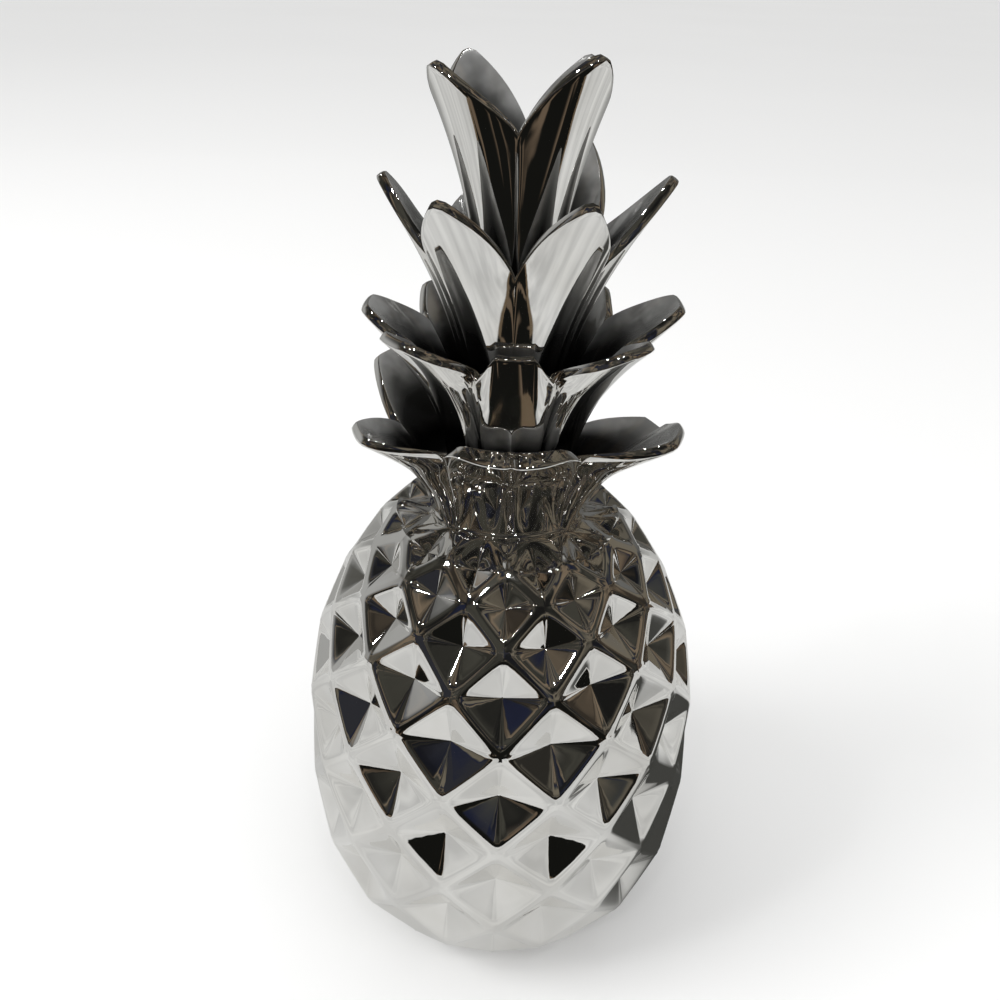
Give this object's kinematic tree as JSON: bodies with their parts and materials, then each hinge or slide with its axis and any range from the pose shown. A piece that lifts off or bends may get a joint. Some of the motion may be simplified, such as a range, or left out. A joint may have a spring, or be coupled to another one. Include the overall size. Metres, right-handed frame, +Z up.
{
  "type": "decorative pineapple",
  "caption": "Standing ornament in the shape of a pineapple: a fruit of sunken diamond cells between thin ridges, and a tall tiered crown of pointed leaves, mirror silver all over.",
  "frame": {"origin": "centre of the flat foot, on the surface that the ornament stands on", "axes": "+Z up along the fruit and crown; the side seen in the picture faces -Y; +X is to the right of someone facing that side"},
  "size_m": [0.1454, 0.1454, 0.3228],
  "materials": {
    "silver": "mirror-bright silver plating over glazed ceramic, slightly wavy"
  },
  "bodies": {
    "root": {"pineapple": "silver"}
  },
  "joints": []
}
